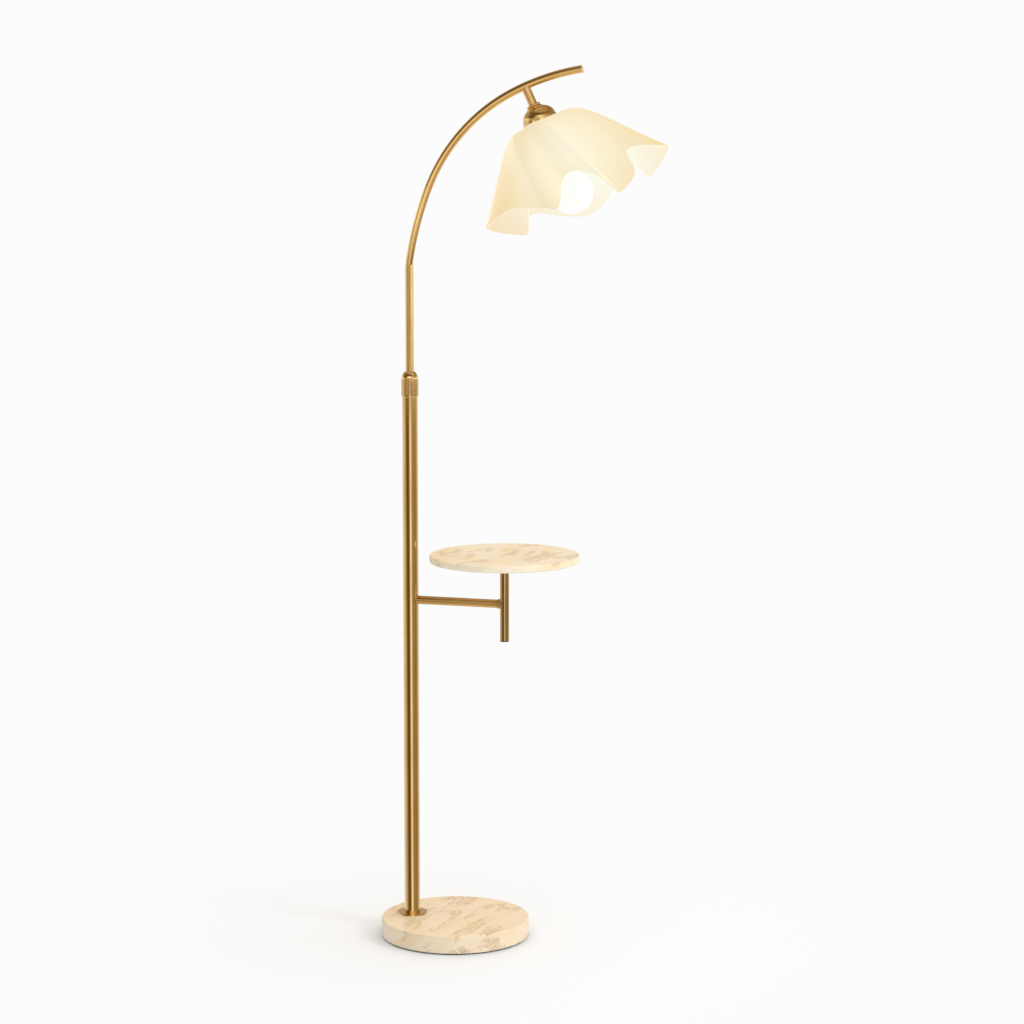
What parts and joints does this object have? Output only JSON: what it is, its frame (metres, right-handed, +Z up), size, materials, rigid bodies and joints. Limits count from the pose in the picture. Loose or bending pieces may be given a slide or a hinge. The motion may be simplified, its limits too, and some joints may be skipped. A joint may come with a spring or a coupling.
{
  "type": "shelf floor lamp",
  "caption": "Floor lamp on a round stone base, with a side tray, a height-adjustable pole, a curved arm and a draped opal shade.",
  "frame": {"origin": "centre of the base's underside, on the floor", "axes": "+Z up; +X from the pole towards the tray and the shade; pole, tray post and arc lie in the XZ plane"},
  "size_m": [0.5451, 0.296, 1.641],
  "materials": {
    "brass_finish": "satin brass finish",
    "zinc_steel": "zinc plated",
    "marble": "honed cream marble with brown veins",
    "tray_marble": "honed cream marble with brown veins",
    "felt": "black felt",
    "rubber": "black rubber",
    "nylon": "natural nylon",
    "black_plastic": "black plastic",
    "opal_sheet": "opal sheet, light passes through",
    "holder_plastic": "white heat-proof plastic",
    "ceramic": "white ceramic",
    "contact_brass": "bright brass",
    "bulb_glass": "opal glass, lit",
    "bulb_metal": "bright aluminium",
    "bulb_black": "black insulator"
  },
  "bodies": {
    "stand": {"felt_pad": "felt", "marble_base": "marble", "lead_grommet": "rubber", "base_rod": "zinc_steel", "base_washer": "zinc_steel", "base_nut": "zinc_steel", "base_flange": "brass_finish", "foot_plug": "zinc_steel", "pole_tube": "brass_finish", "top_bush": "brass_finish", "clamp_bush": "nylon", "rivet_nut": "zinc_steel", "arm_stud": "zinc_steel", "arm_plug": "zinc_steel", "shelf_arm": "brass_finish", "arm_ring": "brass_finish", "shelf_post": "brass_finish", "post_end_cap": "black_plastic", "tray_flange": "brass_finish", "post_grub_screw": "zinc_steel", "tray_screws": "zinc_steel", "tray_inserts": "contact_brass", "marble_tray": "tray_marble"},
    "collar": {"locking_collar": "brass_finish"},
    "guide": {"guide_sleeve": "nylon"},
    "head": {"upper_tube": "brass_finish", "stop_rings": "zinc_steel", "arc_tube": "brass_finish", "arc_joint_screw": "zinc_steel", "arc_end_cap": "brass_finish", "stem_tube": "brass_finish", "neck_ring": "brass_finish", "holder_dome": "brass_finish", "dome_nut": "zinc_steel", "holder_nipple": "zinc_steel", "shade": "opal_sheet", "shade_washer": "zinc_steel", "shade_nut": "zinc_steel", "holder_cap": "holder_plastic", "holder_body": "holder_plastic", "holder_insulator": "ceramic", "terminal_screws": "zinc_steel", "centre_contact": "contact_brass", "threaded_shell": "contact_brass", "bulb_globe": "bulb_glass", "bulb_cap": "bulb_metal", "bulb_insulator": "bulb_black", "bulb_contact": "bulb_metal", "lamp_plate": "bulb_metal"}
  },
  "joints": [
    {"name": "collar_turn", "type": "hinge", "parent": "stand", "child": "collar", "pos_m": [-0.0866, 0, 1.05], "axis": [0, 0, 1], "range_deg": [0, 180]},
    {"name": "height_slide", "type": "slide", "parent": "stand", "child": "guide", "axis": [0, 0, 1], "range_m": [-0.165, 0.125]},
    {"name": "arm_swivel", "type": "hinge", "parent": "guide", "child": "head", "pos_m": [-0.0866, 0, 1.2], "axis": [0, 0, 1], "range_deg": [-170, 170]}
  ]
}
